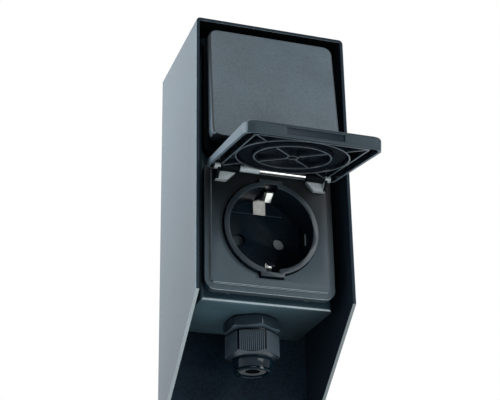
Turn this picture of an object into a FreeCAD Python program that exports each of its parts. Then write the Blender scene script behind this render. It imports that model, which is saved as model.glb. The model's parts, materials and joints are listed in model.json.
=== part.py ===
import FreeCAD, Part
import math
import os

from FreeCAD import Vector

os.makedirs("parts", exist_ok=True)

# Outdoor double socket under a folded sheet hood.
# X runs to the right, Z up. The wall is the plane Y = 0 and everything stands out of it
# towards -Y, so most depths below are distances out from the wall.
# The origin is the middle of the two wall screw holes.

# Hood and back plate
hood_width = 72.0
hood_depth = 60.5
hood_height = 181.0
hood_front_height = 132.0
sheet = 1.5
bend_radius = 2.0
flange_width = 10.0
seat_gap = 0.1
plate_gap = 0.2
wall_hole_spacing = 158.0
wall_hole_radius = 2.75
wall_pad_radius = 8.0
wall_pad_wall = 1.6
rivet_radius = 1.2
rivet_head_radius = 2.0
rivet_head_height = 0.8
rivet_side_gap = 0.3
rivet_inset = 9.0

# Inner box that carries the sockets and the gland
socket_size = 60.0
socket_gap = 3.4
box_front = 47.5
box_seal_thickness = 1.0
box_seal_width = 3.0
post_across_flats = 7.0
post_side_offset = 18.0
post_end_offset = 26.5
box_screw_radius = 1.9
box_screw_head_radius = 3.3
box_screw_length = 12.0
thread_gap = 0.05
cut_past = 1.0

# Socket, front parts
flat_seal_thickness = 0.8
frame_front = 52.3
frame_corner_radius = 5.0
raised_size = 54.2
raised_height = 1.2
raised_corner_radius = 2.0
frame_wall = 1.8
collar_front = 55.6
collar_radius = 21.7
well_radius = 19.5
well_depth = 17.5
well_floor = 2.1
collar_gap = 0.4
key_half_width = 5.35
key_reach = 22.8
key_depth = 5.0
notch_half_width = 3.1
notch_reach = 20.9
contact_spacing = 19.0
contact_hole_radius = 2.75
guide_rib_height = 5.6
guide_rib_depth = 8.0
guide_rib_reach = 0.8

# Socket, rear parts
base_flange_thickness = 1.6
base_radius = 23.2
base_bore_gap = 0.3
base_rear = 15.0
base_corner_radius = 2.0
chamber_radius = 15.2
shutter_space = 3.0
cover_disc_thickness = 1.5
cover_disc_gap = 0.2
strap_thickness = 0.8
strap_width = 5.8
clip_tip_width = 3.0
clip_neck_width = 1.6
clip_roof = 2.6
clip_tip_length = 4.6
clip_bulge = 1.6
strap_slot_gap = 0.2
leg_reach = 19.5
pad_inner_reach = 13.0
sleeve_radius = 3.2
sleeve_bore_radius = 2.5
terminal_width = 8.0
terminal_depth = 6.0
terminal_screw_radius = 1.5
terminal_screw_head_radius = 2.5
terminal_screw_head_height = 1.6
terminal_screw_length = 4.5
fixing_side_gap = 1.0
fixing_radius = 1.5
fixing_head_radius = 2.8
fixing_head_height = 1.5
fixing_length = 5.0
shutter_thickness = 2.0
shutter_arm_half_width = 4.0
shutter_reach = 13.4
shutter_post_radius = 2.0
spring_wire_radius = 0.35
spring_radius = 2.7
spring_turns = 2
spring_pitch = 0.6
wire_radius = 1.4

# Hinged lids
lid_width = 60.4
lid_reach = 53.4
lid_over = 4.4
lid_rim = 0.5
lid_thin = 3.0
lid_thick = 5.2
lid_wall = 1.3
lid_corner_radius = 4.5
lid_edge_radius = 1.3
rib_thickness = 0.8
rib_sink = 0.3
rib_square = 50.4
outer_ring_radius = 24.6
inner_ring_radius = 16.9
hub_radius = 3.0
grip_half_width = 12.6
grip_depth = 0.7
grip_height = 3.0
grip_sill = 1.2
lid_seal_outer = 23.2
lid_seal_inner = 17.4
lid_seal_thickness = 1.2
hinge_out = 58.2
hinge_rise = 25.4
lower_lid_angle = 80.0
upper_lid_angle = 3.0
pin_radius = 1.1
pin_play = 0.08
knuckle_radius = 1.8
knuckle_inner = 15.6
knuckle_outer = 24.4
bearing_outer = 27.2
bearing_radius = 1.45
bearing_gap = 0.15
tab_drop = 5.2
tab_thickness = 2.6
tab_top_drop = 1.4
tab_slant = 2.4
arm_width = 1.2
arm_root = 1.6
arm_room = 3.6
bush_radius = 1.5
bush_length = 9.2

# Cable gland
gland_thread_radius = 8.0
gland_across_flats = 22.3
gland_hex_height = 5.3
gland_cap_across_flats = 21.2
gland_cap_start = 6.7
gland_cap_flat_end = 18.2
gland_dome_end = 22.3
gland_end = 24.3
gland_dome_radius = 10.4
gland_dome_turn = 2.4
gland_dome_shoulder = 9.5
gland_end_radius = 7.7
gland_mouth_radius = 6.2
gland_neck_radius = 8.7
gland_neck_length = 15.0
gland_neck_bore = 6.6
gland_collar_radius = 10.2
gland_inner_length = 8.0
gland_ring_thickness = 0.6
gland_ring_radius = 11.0
gland_nut_thickness = 4.0
gland_seal_bore = 3.3
gland_seal_start = 9.0
gland_seal_shoulder = 19.5
gland_seal_recess = 1.0
gland_hex_turn = 27.0
gland_cap_turn = 18.7

# Heights and depths worked out from the sizes above
top = hood_height / 2
bottom = -top
back_plate_front = 2 * sheet
box_rear = back_plate_front + box_seal_thickness
box_top = top - sheet - seat_gap
box_height = 2 * socket_size + 3 * socket_gap
box_bottom = box_top - box_height
upper_z = box_top - socket_gap - socket_size / 2
lower_z = upper_z - socket_gap - socket_size
middle_z = (upper_z + lower_z) / 2
gland_out = (box_front + box_rear) / 2
seal_front = box_front + flat_seal_thickness
flange_front = seal_front + base_flange_thickness
raised_front = frame_front + raised_height
cavity_size = raised_size - 2 * frame_wall
fixing_offset = cavity_size / 2 - fixing_head_radius - fixing_side_gap
flange_size = cavity_size - 2 * plate_gap
floor_front = collar_front - well_depth
floor_rear = floor_front - well_floor
cover_front = floor_rear - shutter_space
cover_rear = cover_front - cover_disc_thickness
strap_front = cover_rear - seat_gap
strap_rear = strap_front - strap_thickness
base_bore_radius = collar_radius + base_bore_gap
contact_x = contact_spacing / 2


def block(x0, x1, out0, out1, z0, z1):
    """Box between two X, two distances out from the wall and two Z."""
    return Part.makeBox(x1 - x0, out1 - out0, z1 - z0, Vector(x0, -out1, z0))


def disc(x, z, radius, out0, out1):
    """Cylinder that points out of the wall."""
    return Part.makeCylinder(radius, out1 - out0, Vector(x, -out0, z), Vector(0, -1, 0))


def cone_out(x, z, radius0, radius1, out0, out1):
    return Part.makeCone(radius0, radius1, out1 - out0, Vector(x, -out0, z), Vector(0, -1, 0))


def upright(x, out, radius, z0, z1):
    """Cylinder that stands along Z."""
    return Part.makeCylinder(radius, z1 - z0, Vector(x, -out, z0), Vector(0, 0, 1))


def along_x(out, z, radius, x0, x1):
    """Cylinder that lies along X."""
    return Part.makeCylinder(radius, x1 - x0, Vector(x0, -out, z), Vector(1, 0, 0))


def prism(points, direction):
    """Face through the points, pushed along a direction."""
    wire = Part.makePolygon(points + [points[0]])
    return Part.Face(wire).extrude(direction)


def hexagon(x, out, z0, z1, across_flats, turn):
    """Upright hexagonal prism; turn is the angle of one flat from straight out of the wall."""
    corner = across_flats / 2 / math.cos(math.pi / 6)
    points = []
    for i in range(6):
        angle = math.radians(-90 - turn + 30 + 60 * i)
        points.append(Vector(x + corner * math.cos(angle), -out + corner * math.sin(angle), z0))
    return prism(points, Vector(0, 0, z1 - z0))


def rounded_plate(size, radius, z, out0, out1):
    """Square plate facing out of the wall, with rounded corners."""
    half = size / 2
    plate = block(-half, half, out0, out1, z - half, z + half)
    edges = [e for e in plate.Edges if e.Length > 0 and is_along(e, Vector(0, 1, 0))]
    return plate.makeFillet(radius, edges)


def is_along(edge, direction):
    if not isinstance(edge.Curve, (Part.Line, Part.LineSegment)):
        return False
    way = edge.Vertexes[1].Point.sub(edge.Vertexes[0].Point)
    way.normalize()
    return abs(abs(way.dot(direction)) - 1) < 1e-6


def fuse(shapes):
    result = shapes[0].multiFuse(shapes[1:])
    return result.removeSplitter()


def write(name, shape):
    shape.exportStep("parts/" + name + ".step")


def rivet_places():
    x = hood_width / 2 - sheet - rivet_side_gap - rivet_head_radius
    return [(side * x, z) for side in (-1, 1) for z in (bottom + rivet_inset, top - rivet_inset)]


def post_places():
    rows = (upper_z + post_end_offset, middle_z, lower_z - post_end_offset)
    return [(side * post_side_offset, z) for z in rows for side in (-1, 1)]


def make_hood():
    """Left side, top and right side folded from one sheet, with return flanges on the wall."""
    half = hood_width / 2
    outer = block(-half, half, 0, hood_depth, bottom, top)
    bends = [e for e in outer.Edges if is_along(e, Vector(0, 1, 0)) and e.CenterOfMass.z > 0]
    outer = outer.makeFillet(bend_radius, bends)
    inner_half = half - sheet
    inner = block(-inner_half, inner_half, -sheet, hood_depth + sheet, bottom - sheet, top - sheet)
    bends = [e for e in inner.Edges if is_along(e, Vector(0, 1, 0)) and e.CenterOfMass.z > 0]
    inner = inner.makeFillet(bend_radius - sheet, bends)
    hood = outer.cut(inner)
    for side in (-1, 1):
        x0, x1 = sorted((side * (inner_half - flange_width + sheet), side * inner_half))
        hood = hood.fuse(block(x0, x1, 0, sheet, bottom, top - sheet))
    hood = hood.removeSplitter()
    # The side walls slope back to the wall below the front opening.
    front_bottom = top - hood_front_height
    slope = (front_bottom - bottom) / hood_depth
    past = hood_depth / 2
    waste = prism([Vector(-hood_width, 0, bottom),
                   Vector(-hood_width, -hood_depth - past, front_bottom + slope * past),
                   Vector(-hood_width, -hood_depth - past, bottom - past),
                   Vector(-hood_width, 0, bottom - past)], Vector(2 * hood_width, 0, 0))
    hood = hood.cut(waste)
    for x, z in rivet_places():
        hood = hood.cut(rivet(x, z, thread_gap))
    return hood


def make_back_plate():
    """Flat sheet behind the box, with two drawn pads that reach the wall."""
    half = hood_width / 2 - sheet - plate_gap
    plate = block(-half, half, sheet, back_plate_front, bottom + plate_gap, top - sheet - plate_gap)
    for side in (-1, 1):
        z = side * wall_hole_spacing / 2
        plate = plate.fuse(disc(0, z, wall_pad_radius, 0, sheet + sheet / 2))
        plate = plate.cut(disc(0, z, wall_pad_radius - wall_pad_wall, sheet, back_plate_front + sheet))
        plate = plate.cut(disc(0, z, wall_hole_radius, -sheet, back_plate_front))
    for x, z in rivet_places():
        plate = plate.cut(rivet(x, z, thread_gap))
    return plate.removeSplitter()


def rivet(x, z, gap):
    """Flush rivet with a cone at both ends, wider all round by the gap."""
    narrow = rivet_radius + gap
    wide = rivet_head_radius + gap
    body = disc(x, z, narrow, 0, back_plate_front)
    rear = cone_out(x, z, wide, narrow, 0, rivet_head_height)
    front = cone_out(x, z, narrow, wide, back_plate_front - rivet_head_height, back_plate_front)
    return fuse([body, rear, front])


def make_rivets():
    """Flush rivets through the hood's flanges and the back plate."""
    return Part.makeCompound([rivet(x, z, 0) for x, z in rivet_places()])


def make_box():
    """Folded box: front plate, sides, top and the shelf that holds the gland. Open at the back."""
    half = socket_size / 2
    outer = block(-half, half, box_rear, box_front, box_bottom, box_top)
    front_edges = [e for e in outer.Edges if abs(e.CenterOfMass.y + box_front) < 1e-6]
    outer = outer.makeFillet(bend_radius, front_edges)
    inner = block(-half + sheet, half - sheet, box_rear - sheet, box_front - sheet,
                  box_bottom + sheet, box_top - sheet)
    box = outer.cut(inner)
    for z in (upper_z, lower_z):
        box = box.cut(disc(0, z, base_radius + collar_gap, box_front - 2 * sheet, box_front + sheet))
        for x, dz in fixing_places():
            hole = disc(x, z + dz, fixing_radius + thread_gap, box_front - 2 * sheet, box_front + sheet)
            box = box.cut(hole)
    for x, z in post_places():
        box = box.cut(disc(x, z, box_screw_radius + thread_gap, box_front - 2 * sheet, box_front))
        sink = cone_out(x, z, box_screw_radius + thread_gap, box_screw_head_radius + thread_gap,
                        box_front - sheet + thread_gap, box_front + thread_gap)
        box = box.cut(sink)
    hole = upright(0, gland_out, gland_thread_radius + thread_gap, box_bottom - sheet,
                   box_bottom + 2 * sheet)
    return box.cut(hole).removeSplitter()


def make_box_seal():
    half = socket_size / 2
    ring = block(-half, half, back_plate_front, box_rear, box_bottom, box_top)
    hole = block(-half + box_seal_width, half - box_seal_width, 0, box_front,
                 box_bottom + box_seal_width, box_top - box_seal_width)
    return ring.cut(hole)


def make_posts():
    """Hexagonal threaded posts that stand on the back plate and carry the box."""
    posts = []
    corner = post_across_flats / 2 / math.cos(math.pi / 6)
    for x, z in post_places():
        points = []
        for i in range(6):
            angle = math.radians(60 * i)
            points.append(Vector(x + corner * math.cos(angle), -back_plate_front,
                                 z + corner * math.sin(angle)))
        post = prism(points, Vector(0, -(box_front - sheet - back_plate_front), 0))
        hole = disc(x, z, box_screw_radius + thread_gap, box_front - sheet - box_screw_length, box_front)
        posts.append(post.cut(hole))
    return Part.makeCompound(posts)


def make_box_screws():
    """Countersunk screws, flush with the front plate under the sockets' seals."""
    screws = []
    for x, z in post_places():
        shank = disc(x, z, box_screw_radius, box_front - box_screw_length, box_front)
        head = cone_out(x, z, box_screw_radius, box_screw_head_radius, box_front - sheet + 2 * thread_gap,
                        box_front)
        screws.append(shank.fuse(head).removeSplitter())
    return Part.makeCompound(screws)


def fixing_places():
    return [(-fixing_offset, fixing_offset), (fixing_offset, -fixing_offset)]


def key_blocks(z, half_width, reach, out0, out1):
    return block(-half_width, half_width, out0, out1, z - reach, z + reach)


def make_flat_seal(z):
    """Soft square seal between the front plate and the socket."""
    seal = rounded_plate(socket_size - 4 * plate_gap, frame_corner_radius, z, box_front, seal_front)
    seal = seal.cut(disc(0, z, base_radius + collar_gap, 0, 2 * box_front))
    for x, dz in fixing_places():
        seal = seal.cut(disc(x, z + dz, fixing_radius + plate_gap, 0, 2 * box_front))
    return seal


def make_frame(z):
    """Square cover frame with a raised face and a keyed round opening for the collar."""
    frame = rounded_plate(socket_size, frame_corner_radius, z, seal_front, frame_front)
    raised = rounded_plate(raised_size, raised_corner_radius, z, frame_front - raised_height, raised_front)
    frame = frame.fuse(raised)
    cavity = rounded_plate(cavity_size, raised_corner_radius, z, seal_front - sheet,
                           raised_front - frame_wall)
    frame = frame.cut(cavity)
    frame = frame.cut(disc(0, z, collar_radius + collar_gap, 0, 2 * box_front))
    frame = frame.cut(key_blocks(z, key_half_width + collar_gap, key_reach + collar_gap, 0, 2 * box_front))
    return frame.removeSplitter()


def make_insert(z):
    """Round well with its collar, keys, earth notches and contact holes."""
    well = disc(0, z, collar_radius, floor_rear, collar_front)
    keys = key_blocks(z, key_half_width, key_reach, collar_front - key_depth, collar_front)
    well = well.fuse(keys)
    well = well.cut(disc(0, z, well_radius, floor_front, collar_front + sheet))
    well = well.cut(key_blocks(z, notch_half_width, notch_reach, floor_front, collar_front + sheet))
    for side in (-1, 1):
        # Slots in the floor for the earth clips
        z0, z1 = sorted((z + side * (leg_reach - 2 * strap_thickness), z + side * (leg_reach + plate_gap)))
        well = well.cut(block(-notch_half_width, notch_half_width, 0, floor_front + sheet, z0, z1))
        well = well.cut(disc(side * contact_x, z, contact_hole_radius, 0, collar_front))
        # Guide ribs at the sides of the well
        x0, x1 = sorted((side * (well_radius - guide_rib_reach), side * (well_radius + sheet / 2)))
        rib = block(x0, x1, floor_front - sheet / 2, floor_front + guide_rib_depth,
                    z - guide_rib_height / 2, z + guide_rib_height / 2)
        well = well.fuse(rib)
    return well.removeSplitter()


def make_base(z):
    """Rear body: flange on the seal, bore for the well and pockets for the contacts."""
    base = disc(0, z, base_radius, base_rear, flange_front)
    base = base.fuse(rounded_plate(flange_size, base_corner_radius, z, seal_front, flange_front))
    base = base.cut(disc(0, z, base_bore_radius, floor_rear, box_front + 2 * sheet))
    base = base.cut(disc(0, z, chamber_radius, cover_rear, floor_rear + sheet))
    slot_half = strap_width / 2 + strap_slot_gap
    slot_reach = leg_reach + strap_slot_gap
    strap_slot = block(-slot_half, slot_half, strap_rear - strap_slot_gap, cover_rear + strap_slot_gap,
                       z - slot_reach, z + slot_reach)
    base = base.cut(strap_slot)
    for side in (-1, 1):
        z0, z1 = sorted((z + side * (leg_reach - strap_thickness - strap_slot_gap), z + side * slot_reach))
        base = base.cut(block(-slot_half, slot_half, strap_rear, floor_rear + sheet, z0, z1))
        base = base.cut(disc(side * contact_x, z, sleeve_radius + strap_slot_gap, 0, cover_rear + sheet))
        base = base.cut(disc(side * fixing_offset, z - side * fixing_offset,
                             fixing_radius + plate_gap, 0, 2 * box_front))
    tag = strap_width / 2 + strap_slot_gap
    base = base.cut(block(-tag, tag, 0, strap_rear + strap_slot_gap, z - tag, z + tag))
    return base.removeSplitter()


def make_contact_cover(z):
    """Disc over the contacts and the earth strap, with the post that the shutter turns on."""
    cover = disc(0, z, chamber_radius - cover_disc_gap, cover_rear, cover_front)
    for side in (-1, 1):
        cover = cover.cut(disc(side * contact_x, z, contact_hole_radius + plate_gap, 0, floor_rear))
    post = disc(0, z, shutter_post_radius, cover_front, floor_rear - plate_gap)
    return cover.fuse(post).removeSplitter()


def make_earth_bracket(z):
    """Strap behind the floor, two spring legs up the notches, pads on the floor and a terminal."""
    half = strap_width / 2
    neck = clip_neck_width / 2
    tip = clip_tip_width / 2
    shapes = [block(-half, half, strap_rear, strap_front, z - leg_reach, z + leg_reach)]
    pad_front = floor_front + seat_gap + strap_thickness
    leg_end = collar_front - 2 * strap_thickness
    tip_start = leg_end - clip_tip_length
    for side in (-1, 1):
        z_out = z + side * leg_reach
        thick = Vector(0, 0, -side * strap_thickness)
        leg = prism([Vector(-half, -strap_rear, z_out), Vector(half, -strap_rear, z_out),
                     Vector(half, -pad_front, z_out), Vector(neck, -pad_front - clip_roof, z_out),
                     Vector(neck, -tip_start, z_out), Vector(-neck, -tip_start, z_out),
                     Vector(-neck, -pad_front - clip_roof, z_out), Vector(-half, -pad_front, z_out)],
                    thick)
        z0, z1 = sorted((z + side * pad_inner_reach, z_out))
        pad = block(-half, half, floor_front + seat_gap, pad_front, z0, z1)
        # The tip bends in towards the plug and out again
        z_in = z_out - side * clip_bulge
        thin = side * strap_thickness
        bend = (tip_start + leg_end) / 2
        bulge = prism([Vector(-tip, -tip_start + strap_thickness, z_out),
                       Vector(-tip, -bend, z_in), Vector(-tip, -leg_end, z_out - thin / 2),
                       Vector(-tip, -leg_end, z_out - 3 * thin / 2),
                       Vector(-tip, -bend, z_in - thin),
                       Vector(-tip, -tip_start + strap_thickness, z_out - thin)],
                      Vector(clip_tip_width, 0, 0))
        shapes.extend([leg, pad, bulge])
    shapes.append(block(-half, half, base_rear, strap_front, z - half, z + half))
    shapes.append(terminal_block(0, z))
    bracket = fuse(shapes)
    return bracket.cut(terminal_hole(0, z))


def terminal_block(x, z):
    half = terminal_width / 2
    return block(x - half, x + half, base_rear - terminal_depth, base_rear, z - half, z + half)


def terminal_hole(x, z):
    rear = base_rear - terminal_depth
    return disc(x, z, terminal_screw_radius + thread_gap, rear - sheet,
                rear + terminal_screw_length + thread_gap)


def make_contact(x, z):
    """Spring sleeve for one pin, in one piece with its terminal block."""
    sleeve = disc(x, z, sleeve_radius, base_rear, cover_rear - strap_slot_gap)
    contact = fuse([sleeve, terminal_block(x, z)])
    contact = contact.cut(disc(x, z, sleeve_bore_radius, base_rear, floor_rear))
    return contact.cut(terminal_hole(x, z))


def make_terminal_screws(z):
    rear = base_rear - terminal_depth
    screws = []
    for x in (-contact_x, 0, contact_x):
        shank = disc(x, z, terminal_screw_radius, rear - terminal_screw_head_height,
                     rear + terminal_screw_length)
        head = disc(x, z, terminal_screw_head_radius, rear - terminal_screw_head_height, rear)
        screws.append(shank.fuse(head).removeSplitter())
    return Part.makeCompound(screws)


def make_fixing_screws(z):
    screws = []
    for x, dz in fixing_places():
        shank = disc(x, z + dz, fixing_radius, flange_front - fixing_length, flange_front)
        head = disc(x, z + dz, fixing_head_radius, flange_front, flange_front + fixing_head_height)
        screws.append(shank.fuse(head).removeSplitter())
    return Part.makeCompound(screws)


def make_shutter(z):
    """Two-armed plate behind the contact holes; it turns aside when both pins push."""
    front = floor_rear - (shutter_space - shutter_thickness) / 2
    rear = front - shutter_thickness
    arms = block(-shutter_reach, shutter_reach, rear, front,
                 z - shutter_arm_half_width, z + shutter_arm_half_width)
    arms = arms.common(disc(0, z, shutter_reach, 0, floor_rear))
    hub = disc(0, z, shutter_arm_half_width, rear, front)
    shutter = arms.fuse(hub).removeSplitter()
    room = disc(0, z, spring_radius + 2 * spring_wire_radius + plate_gap, 0,
                cover_front + spring_room())
    return shutter.cut(disc(0, z, shutter_post_radius + thread_gap, 0, 2 * box_front)).cut(room)


def spring_room():
    return spring_turns * spring_pitch + 2 * spring_wire_radius + seat_gap


def make_shutter_spring(z):
    """Close coil round the post, its turns drawn as rings that touch."""
    turns = []
    for i in range(spring_turns + 1):
        out = cover_front + spring_wire_radius + i * spring_pitch
        turns.append(Part.makeTorus(spring_radius, spring_wire_radius, Vector(0, -out, z),
                                    Vector(0, -1, 0)))
    return fuse(turns)


def lid_outer(u):
    """Distance of the lid's outer face from the hinge axis plane, at u below the axis."""
    return lid_thin + (lid_thick - lid_thin) * u / lid_reach


def lid_wedge(inset, v_low):
    """Space under the lid's outer face, moved in by inset, in the closed lid's own place."""
    far = 2 * lid_reach
    points = [Vector(-lid_width, -v_low, far), Vector(-lid_width, -v_low, -far),
              Vector(-lid_width, -(lid_outer(far) - inset), -far),
              Vector(-lid_width, -(lid_outer(-far) - inset), far)]
    if lid_outer(-far) - inset < v_low:
        cross = (v_low + inset - lid_thin) * lid_reach / (lid_thick - lid_thin)
        points = [Vector(-lid_width, -v_low, -cross), Vector(-lid_width, -v_low, -far),
                  Vector(-lid_width, -(lid_outer(far) - inset), -far)]
    return prism(points, Vector(2 * lid_width, 0, 0))


def lid_slab(inset, radius, v0, v1):
    """Plan of the lid, moved in by inset, as a rounded block facing out."""
    half = lid_width / 2 - inset
    slab = block(-half, half, v0, v1, -lid_reach + inset, lid_over - inset)
    edges = [e for e in slab.Edges if is_along(e, Vector(0, 1, 0))]
    return slab.makeFillet(radius, edges)


def ring(radius, thickness, z, v0, v1):
    return disc(0, z, radius, v0, v1).cut(disc(0, z, radius - thickness, v0 - cut_past, v1 + cut_past))


def lid_ribs():
    """Square rib, two round ribs, a hub with four spokes and corner ribs under the lid."""
    low = -lid_rim + rib_sink
    high = 2 * lid_thick
    centre = -hinge_rise
    half = rib_square / 2
    square = block(-half, half, low, high, centre - half, centre + half)
    inner = half - rib_thickness
    square = square.cut(block(-inner, inner, low - cut_past, high + cut_past, centre - inner, centre + inner))
    ribs = [square, ring(outer_ring_radius, rib_thickness, centre, low, high),
            ring(inner_ring_radius, rib_thickness, centre, low, high),
            ring(hub_radius, rib_thickness, centre, low, high)]
    for turn in (45, 135, 225, 315):
        for near, far in ((hub_radius - rib_thickness / 2, inner_ring_radius - rib_thickness / 2),
                          (outer_ring_radius - rib_thickness / 2, half * math.sqrt(2) - rib_thickness)):
            spoke = block(near, far, low, high, -rib_thickness / 2, rib_thickness / 2)
            spoke.rotate(Vector(0, 0, 0), Vector(0, 1, 0), turn)
            spoke.translate(Vector(0, 0, centre))
            ribs.append(spoke)
    return fuse(ribs)


def make_lid():
    """Wedge-shaped lid, closed, with its hinge axis at the origin and its face towards -Y."""
    solid = lid_slab(0, lid_corner_radius, -lid_rim, 2 * lid_thick).common(lid_wedge(0, -lid_rim))
    slope = math.atan((lid_thick - lid_thin) / lid_reach)
    normal = Vector(0, -math.cos(slope), math.sin(slope))
    face = [f for f in solid.Faces if abs(f.normalAt(0, 0).dot(normal) - 1) < 1e-4][0]
    solid = solid.makeFillet(lid_edge_radius, face.Edges)
    hollow = lid_slab(lid_wall, lid_corner_radius - lid_wall, -lid_rim - cut_past, 2 * lid_thick)
    hollow = hollow.common(lid_wedge(lid_wall, -lid_rim - cut_past))
    lid = solid.cut(hollow)
    under_face = lid_slab(lid_wall / 2, lid_corner_radius, -lid_rim, 2 * lid_thick)
    under_face = under_face.common(lid_wedge(lid_wall / 2, -lid_rim))
    lid = lid.fuse(lid_ribs().common(under_face))
    # Grip recess in the free edge
    lid = lid.cut(block(-grip_half_width, grip_half_width, grip_sill - lid_rim,
                        grip_sill - lid_rim + grip_height, -lid_reach - cut_past, -lid_reach + grip_depth))
    # Room for the bush and the pin between the knuckles
    bush_room = bush_radius + bearing_gap
    lid = lid.cut(along_x(0, 0, pin_radius + pin_play, -bearing_outer, bearing_outer))
    lid = lid.cut(along_x(0, 0, bush_room, -knuckle_inner, -knuckle_inner + bush_length + bearing_gap))
    for side in (-1, 1):
        x0, x1 = sorted((side * knuckle_inner, side * knuckle_outer))
        barrel = along_x(0, 0, knuckle_radius, x0, x1).common(lid_wedge(lid_wall / 2, -2 * knuckle_radius))
        lid = lid.fuse(barrel)
        lid = lid.cut(along_x(0, 0, pin_radius + pin_play, x0 - cut_past, x1 + cut_past))
        x0, x1 = sorted((side * knuckle_outer, side * (bearing_outer + bearing_gap)))
        lid = lid.cut(along_x(0, 0, bearing_radius + bearing_gap, x0, x1))
        # Room for the bearing's arm beside the knuckle
        lid = lid.cut(hollow.common(block(x0, x1, -lid_rim, 2 * lid_thick, -arm_room, lid_over)))
    return lid.removeSplitter()


def make_lid_seal():
    """Flat soft ring on the lid's inner face, between the round ribs, over the collar's rim."""
    soft = ring(lid_seal_outer, lid_seal_outer - lid_seal_inner, -hinge_rise, -lid_thick, 2 * lid_thick)
    soft = soft.common(lid_wedge(lid_wall, -lid_thick))
    return soft.cut(lid_wedge(lid_wall + lid_seal_thickness, -2 * lid_thick))


def hang(shape, z, angle):
    """Open a closed lid by an angle and put it on its hinge axis."""
    shape = shape.copy()
    shape.rotate(Vector(0, 0, 0), Vector(-1, 0, 0), angle)
    shape.translate(Vector(0, -hinge_out, z + hinge_rise))
    return shape


def make_bearing(z, side):
    """Light bearing that holds one end of the pin, with the tab under the lid's knuckle."""
    hinge_z = z + hinge_rise
    inner = side * (knuckle_outer + bearing_gap)
    outer = side * bearing_outer
    low, high = sorted((inner, outer))
    boss = along_x(hinge_out, hinge_z, bearing_radius, low, high)
    arm_low, arm_high = sorted((inner, inner + side * arm_width))
    foot = hinge_z - tab_drop
    foot_front = raised_front + tab_thickness
    reach = bearing_radius * math.sqrt(0.5)
    arm = prism([Vector(arm_low, -raised_front, foot), Vector(arm_low, -foot_front, foot),
                 Vector(arm_low, -hinge_out - reach, hinge_z - reach),
                 Vector(arm_low, -hinge_out, hinge_z),
                 Vector(arm_low, -hinge_out + reach, hinge_z - reach),
                 Vector(arm_low, -raised_front, foot + arm_root)], Vector(arm_high - arm_low, 0, 0))
    near = side * knuckle_inner
    far = inner + side * arm_width
    tab_top = hinge_z - tab_top_drop
    tab = prism([Vector(far, -raised_front, tab_top), Vector(near, -raised_front, tab_top),
                 Vector(near + side * tab_slant, -raised_front, foot),
                 Vector(far, -raised_front, foot)], Vector(0, -tab_thickness, 0))
    bearing = fuse([boss, arm, tab])
    return bearing.cut(along_x(hinge_out, hinge_z, pin_radius, low, high))


def make_pin(z):
    return along_x(hinge_out, z + hinge_rise, pin_radius, -bearing_outer, bearing_outer)


def make_bush(z):
    """Friction bush that grips the pin and keeps the lid where it is put."""
    bush = along_x(hinge_out, z + hinge_rise, bush_radius, -knuckle_inner + bearing_gap,
                   -knuckle_inner + bush_length)
    return bush.cut(along_x(hinge_out, z + hinge_rise, pin_radius, -bearing_outer, bearing_outer))


def make_link_wire(x):
    """Straight insulated wire between the two sockets' terminals."""
    out = base_rear - terminal_depth / 2
    return upright(x, out, wire_radius, lower_z + terminal_width / 2, upper_z - terminal_width / 2)


def below_shelf(height):
    return box_bottom - height


def make_gland_body():
    """Hexagonal base with its thread through the shelf and its neck inside the cap nut."""
    hex_end = gland_ring_thickness + gland_hex_height
    body = fuse([hexagon(0, gland_out, below_shelf(hex_end), below_shelf(gland_ring_thickness),
                         gland_across_flats, gland_hex_turn),
                 upright(0, gland_out, gland_thread_radius, below_shelf(gland_ring_thickness),
                         below_shelf(-gland_inner_length)),
                 upright(0, gland_out, gland_collar_radius, below_shelf(gland_cap_start),
                         below_shelf(hex_end)),
                 upright(0, gland_out, gland_neck_radius, below_shelf(gland_neck_length),
                         below_shelf(hex_end))])
    return body.cut(upright(0, gland_out, gland_neck_bore, below_shelf(gland_end),
                            below_shelf(-2 * gland_inner_length)))


def make_gland_ring():
    ring_seal = upright(0, gland_out, gland_ring_radius, below_shelf(gland_ring_thickness), below_shelf(0))
    return ring_seal.cut(upright(0, gland_out, gland_thread_radius + thread_gap, below_shelf(gland_end),
                                 below_shelf(-cut_past)))


def make_gland_nut():
    nut = hexagon(0, gland_out, below_shelf(-sheet), below_shelf(-sheet - gland_nut_thickness),
                  gland_across_flats, 0)
    return nut.cut(upright(0, gland_out, gland_thread_radius + thread_gap, below_shelf(0),
                           below_shelf(-2 * gland_inner_length)))


def make_gland_cap():
    """Cap nut: hexagon with a turned lower edge, a dome and an end ring."""
    corner = gland_cap_across_flats / 2 / math.cos(math.pi / 6)
    flat = gland_cap_across_flats / 2
    chamfer = corner - flat
    hexed = hexagon(0, gland_out, below_shelf(gland_cap_flat_end), below_shelf(gland_cap_start),
                    gland_cap_across_flats, gland_cap_turn)
    turned = Part.makeCone(flat, corner + chamfer, 2 * chamfer,
                           Vector(0, -gland_out, below_shelf(gland_cap_flat_end)), Vector(0, 0, 1))
    turned = turned.fuse(upright(0, gland_out, corner + chamfer,
                                 below_shelf(gland_cap_flat_end - 2 * chamfer), below_shelf(0)))
    hexed = hexed.common(turned)
    shoulder = gland_cap_flat_end + gland_dome_turn
    dome = Part.makeCone(gland_end_radius, gland_dome_shoulder, gland_dome_end - shoulder,
                         Vector(0, -gland_out, below_shelf(gland_dome_end)), Vector(0, 0, 1))
    dome = dome.fuse(Part.makeCone(gland_dome_shoulder, gland_dome_radius, gland_dome_turn,
                                   Vector(0, -gland_out, below_shelf(shoulder)), Vector(0, 0, 1)))
    end = upright(0, gland_out, gland_end_radius, below_shelf(gland_end), below_shelf(gland_dome_end))
    cap = fuse([hexed, dome, end])
    cap = cap.cut(upright(0, gland_out, gland_neck_radius + seat_gap, below_shelf(gland_seal_shoulder),
                          below_shelf(0)))
    return cap.cut(upright(0, gland_out, gland_mouth_radius, below_shelf(gland_end + cut_past),
                           below_shelf(0)))


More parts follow.
